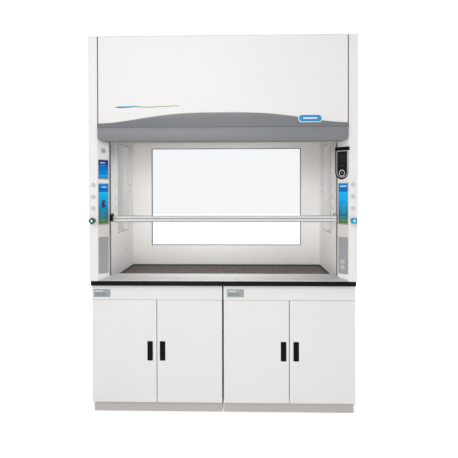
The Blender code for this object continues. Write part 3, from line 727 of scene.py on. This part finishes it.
def sash():
    (x0, x1), (near, far), (z0, z1) = mm("sash_handle")
    mid = (z0 + z1) / 2
    band = []
    for low, high in ((z0, mid - 1.8), (mid + 1.8, z1)):
        centre, reach = (low + high) / 2, (high - low) / 2
        band += [(near + 2.6 * abs(t) ** 3.2, centre + reach * t) for t in np.linspace(-0.98, 0.98, 13)]
        band.append((near + 7, high + (0 if high > mid else 0.4)))
    section = [(far, z0 + 2), (near + 5, z0), *band[:14], (near + 7, mid + 1.4), *band[14:-1]]
    section += [(near + 5, z1), (far, z1 - 2)]
    rings = [[P(x, d, z) for d, z in section] for x in (x0, x1)]
    swap(solid("sash_grip_bar", rings, "white_aluminium", "sash", sharp=50), "sash_handle")
    # dark grey strips along the grip's top edge, under its foot and in its middle groove: painted shade lines
    for name, low, high, face, rear in (
        ("top", z1 - 3.2, z1 + 0.3, near + 0.8, far - 2),
        ("foot", z0 - 3.4, z0 + 0.6, near + 0.8, far - 2),
        ("seam", mid - 2, mid + 2, near + 2.2, near + 8),
    ):
        edge = [(face, low), (face, high), (rear, high), (rear, low)]
        rings = [[P(x, d, z) for d, z in edge] for x in (x0 + 1, x1 - 1)]
        solid(f"sash_grip_{name}", rings, "seam_grey", "sash", slot="black_plastic", bevel=0.5)
    for word, side in SIDES.items():
        node = f"sash_end_block_{word}"
        (x0, x1), (near, far), (z0, z1) = mm(node)
        inner, outer = (x1, x0) if side < 0 else (x0, x1)
        lobes = bmesh.new()
        wide = (abs(outer) - abs(inner)) / 2
        for k, (top, foot, front_d) in enumerate(((z1, z0, near), (z1 - 3, z0 + 3, near + 2.5))):
            centre = abs(inner) + wide * (0.5 + k)
            levels = ((2.6, front_d), (1, front_d + 0.8), (0.2, front_d + 2.8), (0.2, far - 1), (1.2, far))
            lobe = (centre - wide / 2, centre + wide / 2), (foot, top)
            add_loft(lobes, pillow(facing(0, 1, side), *lobe, wide / 2, 8, levels))
        bar = rounded((abs(inner) + 3, abs(outer) - 3), (z0 + 14, z1 - 14), 2, 3)
        add_loft(lobes, [[P(side * a, d, b) for a, b in bar] for d in (near + 4, far - 2)])
        swap(piece(f"sash_clamp_{word}", lobes, "black_plastic", "sash"), node)
        to = facing(near, side=side)
        screws(
            f"sash_clamp_screws_{word}", [(abs(inner) + wide / 2, z) for z in (z0 + 9, z1 - 9)], to, "sash",
            radius=2.6, base=-0.1,
        )
    # the left end's tapered cover, the right end's cover and its knob
    (x0, x1), (near, far), (z0, z1) = mm("sash_handle")
    taper = [
        (x0 - 0.2, z0 + 3), (x0 - 0.2, z1 - 3), (x0 + 9, z1 - 4), (x0 + 27, mid + 2.5), (x0 + 27, mid - 2.5),
        (x0 + 9, z0 + 4),
    ]
    look = "moulded_grey_light"
    plate("sash_left_cover", taper, -near - 0.6, -near + 1.5, forward, look, "sash", bevel=0.8)
    for k, (low, high) in enumerate(((z0 + 1, mid - 1), (mid + 1, z1 - 1))):
        levels = ((0, near), (0.3, near - 1), (1.6, near - 2))
        rings = pillow(facing(0, 1), (x1 - 2, x1 + 20), (low, high), 3, 4, levels, ease=0)
        solid(f"sash_right_cover_{k}", rings, "white_aluminium", "sash")
    spin = facing(near)
    centre = (x1 + 10.4, z1 + 8)
    lathe(
        "sash_latch_knob", centre,
        [(10.2, -1), (10.6, 0.4), (10.6, 3), (9.8, 4.2), (8, 4.7), (7.2, 4.2), (0.2, 4.2)], spin,
        "button_plastic", "sash", slot="white_aluminium",
    )
    lathe(
        "sash_latch_centre", centre, [(4.4, 4), (4.4, 5.4), (3.6, 6), (0.1, 6)], spin, "gasket", "sash",
        sides=20,
    )
    # the pane's edge channels
    (_, gx1), (g0, _), (_, gz1) = mm("sash_glass")
    for word, side in SIDES.items():
        channel = [(gx1 - 7.4, g0 - 1), (gx1 - 0.5, g0 - 1), (gx1 - 0.5, g0 - 0.2), (gx1 - 7.4, g0 - 0.2)]
        solid(
            f"sash_channel_{word}", [[P(side * a, d, z) for a, d in channel] for z in (1397, gz1 - 24)],
            "gasket", "sash",
        )


# ---------------- posts


def valve(word, side):
    """A lobed valve knob on its stem, with a collar on the post."""
    node = f"valve_knob_{word}"
    x, z = side * 880, 1348.5
    phase = pi / 4 if side > 0 else 0
    look = "green_knob" if side < 0 else "blue_knob"
    to = lambda a, b, c: P(x + a, -c, z + b)

    def lobed(scale, out):
        ring = []
        for t in turns(72):
            r = (17.6 + 3.6 * (0.5 + 0.5 * cos(4 * (t + phase))) ** 0.8 * 1.1) * scale
            ring.append(to(r * cos(t), r * sin(t), out))
        return ring

    grip = ((0.6, 30), (0.93, 30.4), (1, 32.5), (1, 54), (0.985, 56.4), (0.93, 57.9), (0.82, 58))
    rings = [lobed(scale, out) for scale, out in grip]
    rings += [circle(to, r, c, 72) for r, c in ((9, 57.6), (8.6, 56.6), (8.6, 52))]
    swap(solid(f"valve_handwheel_{word}", rings, look, node), node)
    lathe(
        f"valve_index_{word}", (0, 0), [(8.3, 51), (8.3, 56.4), (7.6, 57.2), (5, 57.9), (0.2, 58.2)], to,
        "white_plastic", node,
    )
    stem = [(8, -18), (8, 2), (7.2, 3), (7.2, 14), (6.2, 15), (6.2, 26), (7.6, 27), (7.6, 31)]
    lathe(f"valve_stem_{word}", (0, 0), stem, to, "silver", node, slot="bright_steel")
    collar = ((8.9, 0.3), (8.9, 5), (10.5, 5.6), (14, 3.6), (15.5, 1.2), (15.5, 0.3))
    rings = [circle(to, r, c, 40) for r, c in collar]
    solid(f"valve_collar_{word}", rings, "silver", slot="bright_steel", caps=(False, False))


def card(word, low, high, stops, bars, number):
    """A printed card in a slim metal holder on a post's slanted face."""
    to = slant(SIDES[word])
    outer, inner = rounded((-40, 40), (low - 7, high + 4), 1.5, 2), rounded((-36, 36), (low, high), 0.8, 2)
    frame_strip(
        f"card_holder_{word}_{number}", outer, inner, 0.3, 3, to, "holder", slot="aluminium", bevel=0.5
    )
    plate(
        f"card_{word}_{number}", rounded((-37, 37), (low - 1, high + 1), 0.5, 1), 0.3, 1.3, to,
        banded(f"card print {word} {number}", low, high, stops), slot="aluminium",
    )
    for at, (across, up, thick, ink) in enumerate(bars):
        line = rounded(across, (up, up + thick), min(1.5, thick / 2.5), 2)
        plate(f"card_bar_{word}_{number}_{at}", line, 1.25, 1.55, to, f"print_{ink}", slot="aluminium")
    plate(
        f"card_lip_{word}_{number}", rounded((-39.5, 39.5), (low - 6.5, low + 1.5), 1, 2), 2.8, 4.2, to,
        "silver", slot="aluminium", bevel=0.4,
    )


def cards():
    first = [
        (0, (0.0, 0.30, 0.72)), (0.1, (0.0, 0.28, 0.72)), (
            0.15, (0.02, 0.45, 0.95)
        ), (0.2, (0.0, 0.27, 0.75)),
        (0.68, (0.0, 0.14, 0.55)), (0.78, (0.003, 0.05, 0.27)), (1, (0.002, 0.02, 0.14)),
    ]
    second = [
        (0, (0.10, 0.17, 0.03)), (
            0.06, (0.09, 0.22, 0.06)
        ), (0.15, (0.02, 0.16, 0.15)), (0.28, (0.0, 0.2, 0.36)),
        (0.5, (0.0, 0.34, 0.76)), (0.74, (0.0, 0.5, 0.95)), (
            0.78, (0.01, 0.58, 1.0)
        ), (0.8, (0.0, 0.16, 0.55)),
        (0.95, (0.0, 0.17, 0.62)), (1, (0.0, 0.36, 0.9)),
    ]

    def rows(top, count, step, ends, ink):
        return [((-25, ends[k % len(ends)]), top - step * k, 2.6, ink) for k in range(count)]

    picture = [((-24, 14), 1742, 7, "pale"), ((-26, 26), 1652, 3, "sky")] + rows(1728, 2, 7, (20, 8), "sky")
    card("left", 1638, 1764, first, picture, 1)
    picture = [
        ((-14, 24), 1574, 7, "pale"), ((-27, 27), 1541, 4, "sky"), ((-12, 14), 1437, 50, "navy"),
        ((-8, 2), 1440, 22, "yellow"), ((2, 10), 1456, 18, "yellow"), ((-6, 6), 1470, 11, "pale"),
        ((-16, 18), 1416, 4, "mist"),
    ]
    picture += rows(1529, 3, 7, (14, 22, 4), "sky") + rows(1404, 8, 8.5, (20, 8, 24, 14), "mist")
    card("left", 1326, 1600, second, picture, 2)
    picture = [((-25, 25), 1576, 8, "pale"), ((-26, 26), 1534, 5, "sky"), ((-24, 24), 1366, 6, "mist")]
    picture += rows(
        1522, 6, 7.5, (24, 10, 20, 26, 16), "sky"
    ) + rows(1462, 10, 8, (22, 12, 26, 6, 18), "mist") + rows(1352, 2, 8, (20, 10), "mist")
    card("right", 1326, 1600, second, picture, 3)


def post_details(word, side):
    face = facing(0, side=side)
    to = slant(side)
    for k, z in enumerate((1592.5, 1510, 1430)):
        profile = [(16.5, 0.2), (16.5, 1), (15.8, 1.8), (13.5, 2.2), (12.8, 1.7), (0.2, 1.9)]
        lathe(f"service_plug_{word}_{k}", (884, z), profile, face, "plug", sides=40, slot="moulded_grey")
    plate(
        f"blank_plate_{word}", rounded((-39, 39), (1235, 1316), 1.5, 2), 0.3, 1.6, to, "blank_plate",
        slot="white_powder_coat", bevel=0.5,
    )
    # the outlet plates: two moulded fields a side
    for k, (low, high) in enumerate(((982, 1107.7), (1109.3, 1233))):
        levels = ((0, 0.3), (0, 2), (0.8, 3), (2.6, 3.4), (4.4, 3.5))
        rings = pillow(to, (-38, 38), (low, high), 4, 5, levels, ease=0.5)
        made = solid(f"cover_plate_{word}_{k}", rings, "outlet_plate")
        if k:
            swap(made, f"outlet_plate_{word}")
        centre = (low + high) / 2
        spots = [(0, centre)] if k == 0 and side > 0 else [(0, low + 13), (0, high - 13)]
        screws(f"cover_screws_{word}_{k}", spots, to, radius=2.8, base=3.3)
    if side > 0:
        for k, z in enumerate((1026, 1064)):
            rim = rounded((4 - 15, 4 + 15), (z - 13, z + 13), 9, 6)
            plate(f"receptacle_{k}", rim, 3.3, 4.6, to, "receptacle", slot="outlet_plate", bevel=0.6)
            for n, (a, tall) in enumerate(((-2, 11), (10, 9))):
                slit = rounded((a - 1.7, a + 1.7), (z + 1 - tall / 2, z + 1 + tall / 2), 0.4, 1)
                plate(f"receptacle_slot_{k}_{n}", slit, 4.5, 4.8, to, "dark_gap", slot="black_plastic")
            lathe(
                f"receptacle_earth_{k}", (4, z - 7.5), [(2.3, 4.5), (2.3, 4.8), (0.2, 4.8)], to, "dark_gap",
                sides=16, slot="black_plastic",
            )
    screws(
        f"track_screws_{word}", [(41.6, z) for z in (1650, 1330, 1240)], to, look="gasket", radius=2.0,
        base=0.2,
    )


def monitor():
    """The airflow monitor: a satin case with a glossy black face, a trim line and a thick cap."""
    to = slant(1)
    low, high, half = 1630, 1844, 48

    def outline(inset, top=0.0):
        h = half - inset
        points = arc((0, low + half), h, 180, 360, 28)
        r = max(1, 7 - inset * 0.4)
        upper = high - inset - top
        return points + arc((h - r, upper - r), r, 0, 90, 5) + arc((r - h, upper - r), r, 90, 180, 5)

    levels = ((0.8, 0.3), (0, 1.4), (0, 8.4), (0.8, 9))
    case = [[to(a, b, c) for a, b in outline(inset)] for inset, c in levels]
    swap(solid("monitor_case", case, "trim", slot="white_aluminium"), "monitor_housing")
    centre = (0, 1669)
    hole = arc(centre, 14.8, 0, 360, 40)[:-1]
    holed_plate("monitor_band", outline(0.3), hole, 8.9, 13.4, to, "trim", slot="white_aluminium", bevel=0.5)
    beside = lambda a, b, c: to(a + 3.5, b, c)
    holed_plate(
        "monitor_front", outline(-3), [(a - 3.5, b) for a, b in hole], 13.3, 16.4, beside, "gloss_black",
        slot="black_plastic", bevel=1.0, segments=3,
    )
    aside = lambda a, b, c: to(a + 3.5 + 0.14 * min(0, a) - 0.09 * max(0, a), b + 0.09 * max(0, 1678 - b), c)
    frame_strip(
        "monitor_trim", outline(6, top=17), outline(9, top=17), 16.2, 17.8, aside, "trim",
        slot="bright_steel", bevel=0.5,
    )
    holed_plate(
        "monitor_inlay", outline(13.6, top=16), hole, 16.3, 17.3, to, "gloss_black", slot="black_plastic",
        bevel=0.5,
    )
    round_button = [arc(centre, radius, 0, 360, 48)[:-1] for radius in (22.4, 18.6)]
    frame_strip("monitor_button_ring", *round_button, 17.2, 18.3, to, "trim", slot="bright_steel", bevel=0.5)
    levels = ((0.6, 5), (0, 6), (0, 20), (0.8, 21.6), (2.4, 22))
    solid("monitor_cap", pillow(to, (-53, 53), (1823, 1847), 4, 4, levels, least=1), "black_plastic")
    plate(
        "monitor_display", rounded((-30, 30), (1742, 1800), 3, 4), 17.2, 17.5, to, "display",
        slot="black_plastic",
    )
    for k in range(3):
        lathe(
            f"monitor_lamp_{k}", (-14 + 14 * k, 1722), [(2.6, 17.2), (2.6, 17.8), (1.6, 18.4), (0.1, 18.5)],
            to, "push_grey", sides=16, slot="black_plastic",
        )
    body = BODY_OF["monitor_button"]
    profile = [(14, 13.4), (14, 20.6), (13.2, 21.6), (11.2, 22), (10.2, 21.4), (9.6, 20.8)]
    button = lathe("monitor_push", centre, profile, to, "gloss_black", body, sides=48, slot="button_plastic")
    swap(button, "monitor_button")
    lathe(
        "monitor_push_centre", centre, [(9.4, 20.4), (9.4, 21.2), (8.6, 21.6), (0.2, 21.9)], to, "push_grey",
        body, sides=40, slot="button_plastic",
    )


def light_switch():
    to = slant(-1)
    body = BODY_OF["light_switch_button"]
    z = sum(mm("light_switch_button")[2]) / 2
    profile = [(12.6, 2.5), (12.6, 6.6), (11.8, 7.6), (9.5, 8), (6, 7.5), (0.2, 7.3)]
    swap(lathe("switch_push", (0, z), profile, to, "button_plastic", body, sides=40), "light_switch_button")
    rim = [(13, 0.3), (13, 4.4), (14, 5), (16, 4.4), (17.4, 2), (17.6, 0.3)]
    rings = [circle(to, r, c, 44, (0, z)) for r, c in rim]
    solid("switch_bezel", rings, "switch_rim", slot="button_plastic", caps=(False, False))


# ---------------- plates on the fronts


def fronts():
    """Blank label plates on the aprons, a plain stripe on the panel and a plain badge on the brow."""

    def label(name, across, up, radius, steps, look, levels=(0.9, 1.15)):
        low, high = (APRON + level for level in levels)
        plate(name, rounded(across, up, radius, steps), low, high, forward, look, slot="aluminium")

    for k, (low, high, up) in enumerate(((-896, -780, (815, 870)), (29, 146, (817, 872)))):
        label(f"blank_label_{k}", (low, high), up, 2, 3, "label_grey", (0.05, 1))
        label(f"label_field_{k}", (low + 9, low + 66), (up[1] - 20, up[1] - 9), 1, 2, "label_pale")
        for n, (reach, step) in enumerate(((84, 24), (96, 32), (90, 40))):
            line = (low + 9, low + reach), (up[1] - step - 3, up[1] - step)
            label(f"label_rule_{k}_{n}", *line, 0.8, 2, "label_band")
    hue = Nodes("stripe print")
    blue_to_green = [
        (0, (0.005, 0.12, 0.42)), (0.2, (0.005, 0.3, 0.6)), (0.32, (0.03, 0.3, 0.3)), (
            0.45, (0.16, 0.3, 0.06)
        ),
        (1, (0.2, 0.34, 0.09)),
    ]
    hue.set(Base_Color=hue.along("X", -743, -294, blue_to_green))
    hue.rough(hue.noise(90, 3), 0.3, 0.42)
    hue.bump(hue.noise(900, 2), 0.00001)
    stripe = [
        (-743, 2121), (-700, 2116), (-640, 2118), (-590, 2124), (-560, 2120), (-500, 2119), (-400, 2124),
        (-294, 2129), (-294, 2133), (-400, 2129), (-500, 2124.5), (-556, 2126), (-588, 2131), (-640, 2129),
        (-700, 2129),
    ]
    plate("plain_stripe", stripe, -3 + 0.02, -3 + 0.4, forward, hue.material, slot="blue_knob")

    def lean(a, b, c):
        return P(a, -10.5 + 12 * (b - 2012) / 55 - c, b)

    rim = pillow(lean, (515, 675), (2012, 2067), 22, 8, ((0, -9), (0, 0.2), (0.8, 1), (2, 1.2)))
    solid("badge_rim", rim, "white_plastic", slot="white_powder_coat")
    plate(
        "badge_face", rounded((520, 670), (2017, 2062), 17.5, 8), 1, 1.8, lean, "badge_blue",
        slot="blue_knob", bevel=0.3,
    )
    plate(
        "badge_bar", rounded((548, 642), (2035, 2045), 4, 4), 1.7, 2.2, lean, "white_plastic",
        slot="white_powder_coat", bevel=0.2,
    )


# ---------------- inside the chamber


def chamber():
    for word, side in SIDES.items():
        to = wall(side, LINING)
        for k, z in enumerate((1595, 1507, 1427)):
            for n, up in enumerate((9, -9)):
                profile = [(4.6, 0), (4.6, 0.8), (3.8, 1.4), (0.2, 1.6)]
                lathe(
                    f"service_stud_{word}_{k}_{n}", (222 + 3 * n, z + up), profile, to, "dark_gap", sides=18,
                    slot="black_plastic",
                )
        screws(f"liner_screws_{word}", [(664, 1602), (664, 1544)], to, look="dark_gap", radius=5)
        screws(
            f"liner_edge_screws_{word}", grid((112, 440, 755), (956, 1958)), to, look="white_plastic",
            radius=4,
        )
        caps, cap = bmesh.new(), [(4.4, 0), (4.2, 1), (3, 1.6), (0.2, 1.7)]
        for spot in ((550, 1087), (550, 1075)):
            add_lathe(caps, spot, cap, to, 18)
        piece(f"liner_caps_{word}", caps, "gasket", slot="chamber_lining")
        # gaskets round the side pane: on the lining, inside its tunnel and on the outer skin
        ring = lambda i: inset_box(*SIDE_WINDOW, 3, 3, i, least=0.5)
        frame_strip(f"side_rim_{word}", ring(-2.6), ring(0.3), 0.05, 1.1, to, **RUBBER, bevel=0.4)
        inner = wall(side, 905.2)
        frame_strip(f"side_gasket_{word}", ring(2.4), ring(8), 0, 4, inner, **RUBBER, bevel=0.8)
        outer = wall(side, SKIN, 1)
        frame_strip(
            f"side_trim_{word}", ring(-16), ring(0.5), 0.1, 2.2, outer, "white_powder_coat", bevel=0.8
        )
        frame_strip(f"side_bead_{word}", ring(0.6), ring(5), -1.6, 1.4, outer, **RUBBER, bevel=0.6)
        spots = grid((62, 783), range(980, 2600, 228)) + grid((279, 599), (1260, 1573, 1886))
        screws(f"side_screws_{word}", spots, outer, radius=4)
        screws(f"cabinet_screws_{word}", grid((75, 425, 775), (60, 440, 880)), wall(side, 910, 1), radius=4)
    back = facing(REAR_LINING)
    ring = lambda i: inset_box(*REAR_WINDOW, 3, 3, i, least=0.5)
    # a gasket round the rear pane inside its tunnel; its dark grey paints the shade along the window's reveal
    frame_strip(
        "rear_gasket", ring(0.4), ring(4.5), -19.8, -15, back, "seam_grey", slot="black_plastic", bevel=0.8
    )
    screws(
        "rear_liner_screws", grid((-740, 740), (980, 1240, 1500, 1760, 1955)) + grid((-440, 0, 440), (1000,)),
        back, look="white_plastic", radius=4,
    )
    for name, centre in BAYS.items():
        slats = bmesh.new()
        slat = ((-0.8, 0), (0.8, 0), (3.4, 12), (1.8, 12))
        for d in np.arange(262, 706, 22):
            ends = (centre - 219, centre + 219)
            add_loft(slats, [[P(x, d + a, 1976 + b) for a, b in slat] for x in ends])
        bar = ((-0.9, 0), (0.9, 0), (0.9, 10), (-0.9, 10))
        for x in np.arange(centre - 165, centre + 170, 110):
            add_loft(slats, [[P(x + a, d, 1978 + b) for a, b in bar] for d in (251, 709)])
        piece(f"inlet_grille_{name}", slats, "white_aluminium", slot="white_aluminium")


def backs():
    """The plain sides of the hood: fasteners, trims and rails on the back and the top."""
    back = facing(REAR_SKIN, 1)
    spots = grid((-896, 896), range(960, 2600, 232)) + grid((-600, -200, 200, 600), (920, 2585))
    spots += grid((-645, 645), (1110, 1502, 1894)) + grid((-400, 0, 400), (1078, 1926))
    screws("rear_screws", spots, back, radius=4)
    ring = lambda i: inset_box(*REAR_WINDOW, 4, 3, i, least=0.5)
    frame_strip("rear_trim", ring(-22), ring(0.5), 0.1, 1.9, back, "white_powder_coat", bevel=0.8)
    frame_strip("rear_bead", ring(0.6), ring(5), -1.8, 1.2, back, **RUBBER, bevel=0.6)
    levels = ((0, -0.2), (0, 9), (1.5, 11), (3, 11.4))
    box = pillow(facing(803, 1), (640, 760), (2180, 2330), 6, 4, levels)
    solid("supply_box", box, "white_powder_coat")
    screws("supply_screws", [(652, 2192), (748, 2192), (652, 2318), (748, 2318)], facing(814.4, 1), radius=3)
    inlet = facing(814.3, 1)
    plate("supply_inlet", rounded((680, 720), (2240, 2270), 4, 4), 0, 2.4, inlet, "black_plastic", bevel=0.6)
    work = bmesh.new()
    for x in (-8, 0, 8):
        pin = rounded((700 + x - 1.4, 700 + x + 1.4), (2250, 2260), 0.6, 2)
        add_loft(work, [[inlet(a, b, c) for a, b in pin] for c in (2.3, 2.7)])
    piece("supply_pins", work, "silver", slot="bright_steel")
    up = lid(TOP)
    spots = grid((-896, -448, 0, 448, 896), (20, 785)) + grid((-896, 896), (400,))
    screws("lid_screws", spots, up, radius=4)
    for name, centre in BAYS.items():
        outer = rounded((centre - 176, centre + 176), (330, 634), 10, 4)
        inner = rounded((centre - 164, centre + 164), (342, 622), 4, 4)
        frame_strip(f"outlet_frame_{name}", outer, inner, 0.1, 4, up, "white_powder_coat", bevel=1)
        screws(
            f"outlet_screws_{name}", grid((centre - 170, centre + 170), (336, 628)), lid(TOP + 4), radius=3
        )


def cabinets():
    """What shows when the doors open: catches, strikes and buffers."""
    for word, side in SIDES.items():
        toe = facing(90.8, side=side)
        strike = facing(DOOR_BACK, 1, side)
        # a thin sheet over the white toe kick, its darker grey painting the shade that falls under the doors
        plate(
            f"toe_shade_sheet_{word}", rounded((7, 908), (1.5, 83), 1, 2), 0, 1.6, toe, "toe_grey",
            slot="white_powder_coat", bevel=0.6,
        )
        for k, x in enumerate((435, 480)):
            levels = ((1, 62.6), (0, 63.6), (0, 80), (0.6, 81))
            block = pillow(facing(0, 1, side), (x - 12, x + 12), (770, 784.4), 2.5, 3, levels, ease=0.5)
            solid(f"door_catch_{word}_{k}", block, "black_plastic")
            door = ("inner" if k == 0 else "outer") + f"_door_{word}"
            plate(
                f"{door}_strike", rounded((x - 10, x + 10), (771, 783), 2, 3), 0, 1, strike, "bright_steel",
                door,
            )
        for outer, low, high in ((True, 459.7, 908.5), (False, 6.5, 455.3)):
            door = ("outer" if outer else "inner") + f"_door_{word}"
            work = bmesh.new()
            for x in (low + 10, high - 10):
                for z in (100, 780):
                    add_lathe(work, (x, z), [(4.5, 0), (4.5, 0.9), (3.4, 1.4), (0.2, 1.5)], strike, 18)
            piece(f"{door}_buffers", work, "gasket", door, slot="black_plastic")


header()
brow_trims()
worktop()
sill()
for node in NODES:
    if "door_handle" in node:
        door_pull(node)
sash()
for word, side in SIDES.items():
    valve(word, side)
    post_details(word, side)
cards()
monitor()
light_switch()
fronts()
chamber()
backs()
cabinets()
